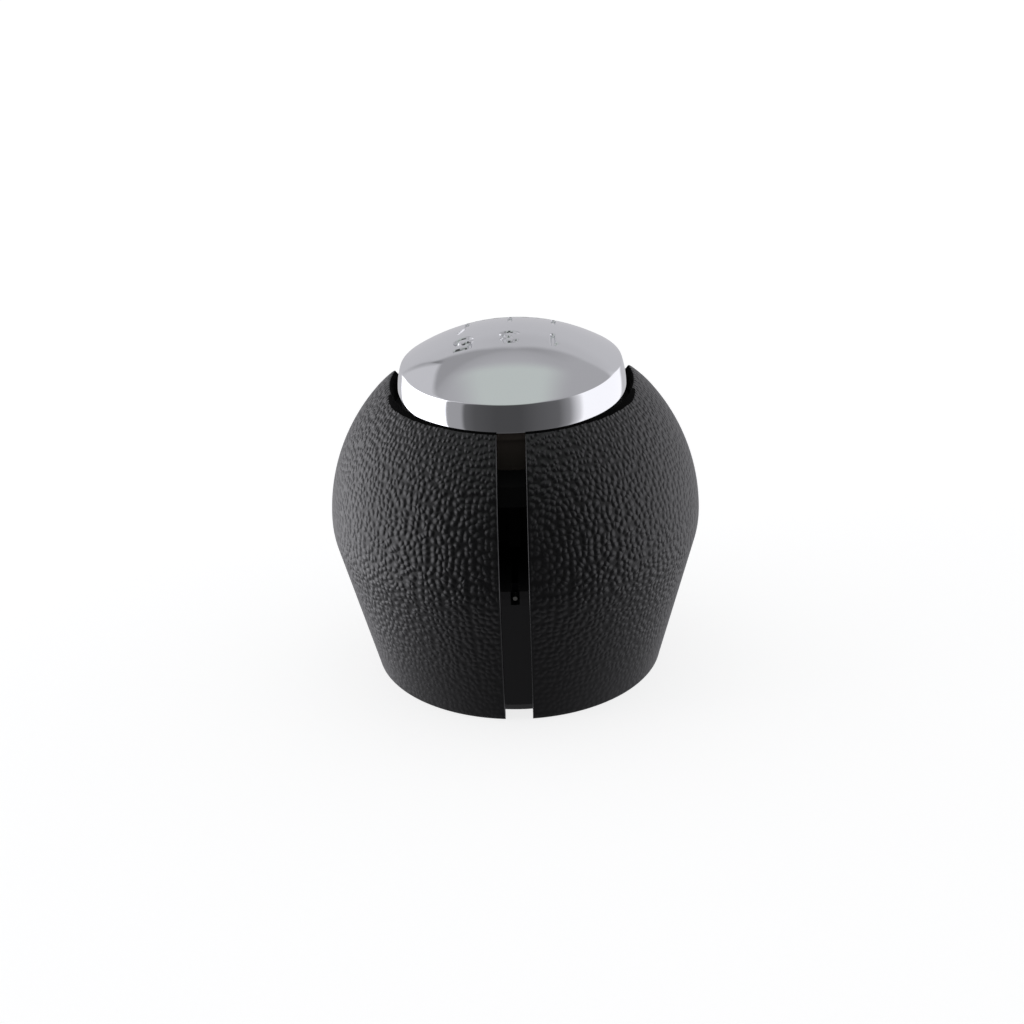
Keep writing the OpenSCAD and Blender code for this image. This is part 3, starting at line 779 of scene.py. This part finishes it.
# Horizon, opening and table
horizon = put(tree, "ShaderNodeValToRGB", by_angle(HORIZON, 180), i0=turn_share)
horizon = put(tree, "ShaderNodeMath", {"operation": "MULTIPLY", 1: HORIZON_GAIN}, i0=horizon)
open_side = put(tree, "ShaderNodeValToRGB", by_angle(OPENING, 180), i0=turn_share)
below_roof = put(tree, "ShaderNodeMapRange", {1: ROOF_FROM[0], 2: ROOF_FROM[1]}, i0=rise)
opening = put(tree, "ShaderNodeMath", {"operation": "MULTIPLY"}, i0=open_side, i1=below_roof)
overhead = put(tree, "ShaderNodeMix", {"data_type": "FLOAT"}, i0=opening, i2=overhead, i3=horizon)
hang_share = put(tree, "ShaderNodeValToRGB", by_angle(HANG, 180), i0=turn_share)
hang = put(tree, "ShaderNodeMath", {"operation": "MULTIPLY", 1: HANG_DROP}, i0=hang_share)
over_edge = put(tree, "ShaderNodeMath", {"operation": "ADD"}, i0=rise, i1=hang)
low_part = put(tree, "ShaderNodeMapRange", {1: HORIZON_TO[0], 2: HORIZON_TO[1]}, i0=over_edge)
cloth = put(tree, "ShaderNodeMix", {"data_type": "FLOAT"}, i0=low_part, i2=overhead, i3=horizon)
table_top = put(tree, "ShaderNodeValToRGB", by_angle(TABLE_TOP, 180), i0=turn_share)
over_table = put(tree, "ShaderNodeMapRange", {1: TABLE_TO[0], 2: TABLE_TO[1]}, i0=rise)
cloth = put(tree, "ShaderNodeMix", {"data_type": "FLOAT"}, i0=over_table, i2=table_top, i3=cloth)

# The cloth has a cool cast and the window a faint green one
high_up = put(tree, "ShaderNodeMapRange", {1: GREEN_FROM[0], 2: GREEN_FROM[1]}, i0=rise)
green = put(tree, "ShaderNodeMath", {"operation": "MULTIPLY"}, i0=window, i1=high_up)
cast = put(tree, "ShaderNodeMix", {"data_type": "RGBA", 6: srgb("#fbfaff"), 7: srgb("#f8fffc")}, i0=green)
glow = put(tree, "ShaderNodeEmission", {}, Color=cast.outputs[2], Strength=cloth)
put(tree, "ShaderNodeOutputMaterial", {}, i0=glow)
tent_mesh.materials.append(tent_cloth)


# Camera
# It looks at the slot from a little above the cap, turned and rolled a degree or two as the
# photograph's is. Its distance and its aim, which is a point beside the lever's axis, are in metres.
CAMERA_DISTANCE = 0.3359
CAMERA_TURN = math.radians(1.1)
CAMERA_RISE = math.radians(26.91)
CAMERA_ROLL = math.radians(-1.81)
CAMERA_LENS = 83.0
AIM_SIDE = -0.00051
AIM_HEIGHT = 0.02201
level_x = math.sin(CAMERA_TURN) * math.cos(CAMERA_RISE)
level_y = -math.cos(CAMERA_TURN) * math.cos(CAMERA_RISE)
back = Vector((level_x, level_y, math.sin(CAMERA_RISE)))
side = Vector((math.cos(CAMERA_TURN), math.sin(CAMERA_TURN), 0))
up = back.cross(side)
camera_data = bpy.data.cameras.new("camera")
camera_data.lens = CAMERA_LENS
camera_data.sensor_width = 36
camera_data.clip_start = 0.01
camera = bpy.data.objects.new("camera", camera_data)
bpy.context.collection.objects.link(camera)
camera_side = side * math.cos(CAMERA_ROLL) + up * math.sin(CAMERA_ROLL)
camera_up = up * math.cos(CAMERA_ROLL) - side * math.sin(CAMERA_ROLL)
turned = Matrix((camera_side, camera_up, back)).transposed().to_4x4()
spot = side * AIM_SIDE + Vector((0, 0, AIM_HEIGHT)) + back * CAMERA_DISTANCE
camera.matrix_world = Matrix.Translation(spot) @ turned
bpy.context.scene.camera = camera
bpy.context.scene.view_settings.view_transform = "Standard"
